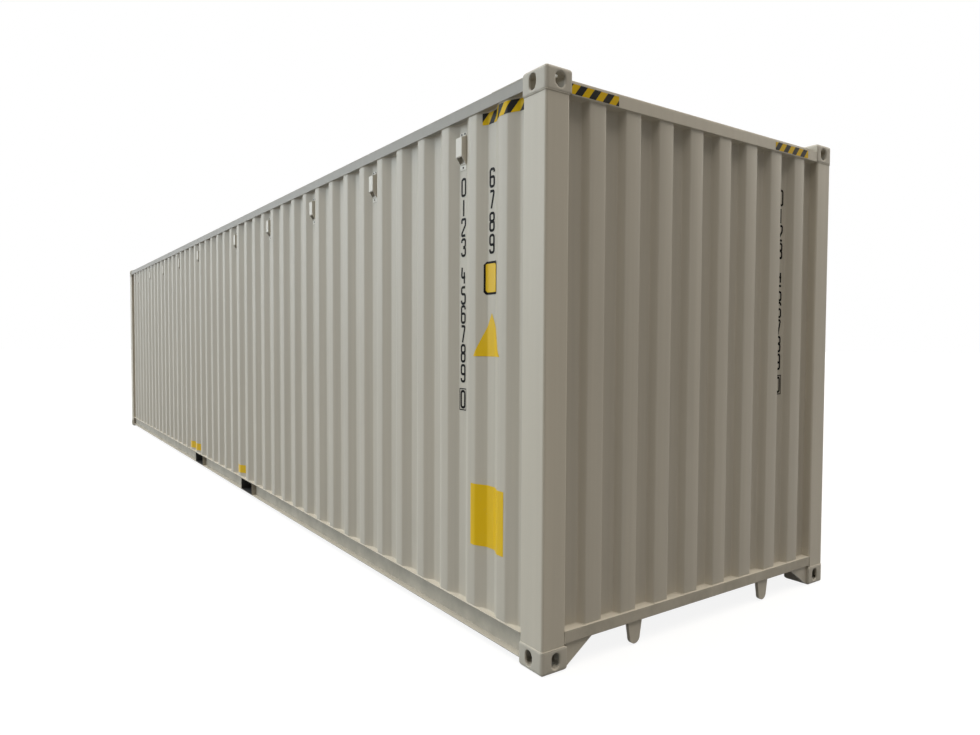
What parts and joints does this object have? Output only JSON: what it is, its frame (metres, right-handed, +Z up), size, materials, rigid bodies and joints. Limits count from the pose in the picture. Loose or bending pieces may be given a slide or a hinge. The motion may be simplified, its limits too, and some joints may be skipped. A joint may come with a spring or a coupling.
{
  "type": "shipping container",
  "caption": "Forty-foot high-cube steel shipping container with corrugated walls, corner castings, fork pockets, gooseneck tunnel, side vents and shut cargo doors.",
  "frame": {"origin": "middle of the footprint, on the ground", "axes": "+X along the length to the closed front end, +Y to the left side, +Z up"},
  "size_m": [12.192, 2.438, 2.896],
  "materials": {
    "paint": "satin cream-grey paint on pressed steel",
    "casting": "satin cream-grey paint on cast steel",
    "vent": "satin cream-grey paint",
    "plywood": "varnished plywood",
    "undercoat": "black bitumen undercoat",
    "rubber": "matt black rubber",
    "galvanised": "dull galvanised steel"
  },
  "bodies": {
    "root": {"front_bottom_castings": "casting", "rear_bottom_castings": "casting", "front_top_castings": "casting", "rear_top_castings": "casting", "right_front_post": "paint", "left_front_post": "paint", "right_rear_post": "paint", "left_rear_post": "paint", "right_top_rail": "paint", "left_top_rail": "paint", "right_bottom_rail": "paint", "left_bottom_rail": "paint", "front_top_rail": "paint", "front_bottom_rail": "paint", "front_header_plate": "paint", "door_header": "paint", "door_sill": "paint", "right_side_wall": "paint", "left_side_wall": "paint", "front_wall": "paint", "roof": "paint", "roof_corner_plates": "paint", "tunnel_guides": "paint", "corner_gussets": "paint", "right_door_frame": "paint", "left_door_frame": "paint", "right_door_panel": "paint", "left_door_panel": "paint", "right_vents": "vent", "left_vents": "vent", "floor_deck": "plywood", "cross_members": "undercoat", "gooseneck_tunnel": "undercoat", "tunnel_outriggers": "undercoat", "front_fork_pocket": "undercoat", "rear_fork_pocket": "undercoat", "right_door_gasket": "rubber", "left_door_gasket": "rubber", "right_lock_rods": "galvanised", "left_lock_rods": "galvanised", "rod_brackets": "galvanised", "cam_keepers": "galvanised", "lock_handles": "galvanised", "door_hinges": "galvanised"}
  },
  "joints": []
}
